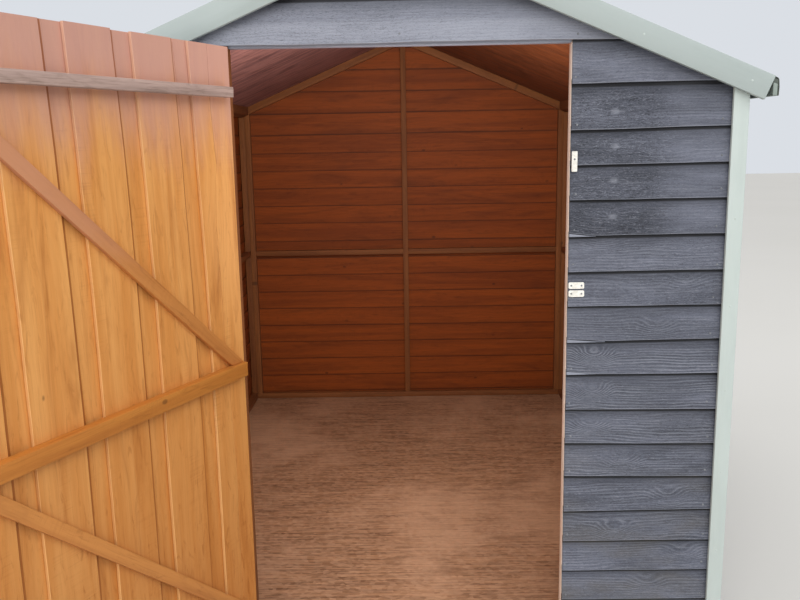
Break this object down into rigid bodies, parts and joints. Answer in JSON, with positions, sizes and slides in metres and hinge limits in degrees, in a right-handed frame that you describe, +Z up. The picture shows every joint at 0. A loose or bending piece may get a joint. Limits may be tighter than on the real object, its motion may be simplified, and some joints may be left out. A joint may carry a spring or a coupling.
{
  "type": "garden shed",
  "caption": "Overlap-clad apex garden shed with a felted roof, timber framing, a sheet floor and a wide ledged and braced door on tee hinges.",
  "frame": {"origin": "centre of the base, on the underside of the middle bearer", "axes": "+X to the right as seen from the door side, +Y from the door wall towards the back wall, +Z up"},
  "size_m": [1.976, 3.3171, 2.0776],
  "materials": {
    "painted_boards": "weathered dark blue-grey garden paint",
    "painted_trim": "pale grey-green garden paint",
    "bare_timber": "bare sawn softwood",
    "stained_door": "honey-brown dip stain on sawn softwood",
    "weathered_ledge": "weathered grey-brown sawn softwood",
    "deck_board": "bare strand board",
    "floor_sheet": "worn brown chipboard",
    "mineral_felt": "grey-green mineral felt",
    "zinc_plated_steel": "zinc plated, dulled"
  },
  "bodies": {
    "shed": {"floor_bearers": "bare_timber", "floor_board": "floor_sheet", "threshold_board": "painted_boards", "front_cladding_left": "painted_boards", "front_cladding_right": "painted_boards", "front_gable_cladding": "painted_boards", "back_cladding": "painted_boards", "left_cladding": "painted_boards", "right_cladding": "painted_boards", "front_frame_left": "bare_timber", "front_frame_right": "bare_timber", "door_header": "painted_trim", "front_gable_frame": "bare_timber", "back_frame": "bare_timber", "left_frame": "bare_timber", "right_frame": "bare_timber", "front_left_corner_strip": "painted_trim", "front_right_corner_strip": "painted_trim", "back_left_corner_strip": "painted_trim", "back_right_corner_strip": "painted_trim", "front_left_bargeboard": "painted_trim", "front_right_bargeboard": "painted_trim", "back_left_bargeboard": "painted_trim", "back_right_bargeboard": "painted_trim", "roof_deck_left": "deck_board", "roof_deck_right": "deck_board", "roof_frame_left": "bare_timber", "roof_frame_right": "bare_timber", "roof_felt_left": "mineral_felt", "roof_felt_right": "mineral_felt", "ridge_capping": "mineral_felt", "eaves_fascia_left": "painted_trim", "eaves_fascia_right": "painted_trim", "hinge_leaves": "zinc_plated_steel", "upper_keep": "zinc_plated_steel", "lower_keep": "zinc_plated_steel"},
    "door": {"door_boards": "stained_door", "door_top_ledge": "weathered_ledge", "door_middle_ledge": "stained_door", "door_bottom_ledge": "stained_door", "door_upper_brace": "stained_door", "door_lower_brace": "stained_door", "hinge_straps": "zinc_plated_steel", "door_bolt": "zinc_plated_steel"}
  },
  "joints": [
    {"name": "door_hinge", "type": "hinge", "parent": "shed", "child": "door", "pos_m": [-0.45855, -1.23205, 0.9], "axis": [0, 0, -1], "range_deg": [-114, 50]}
  ]
}
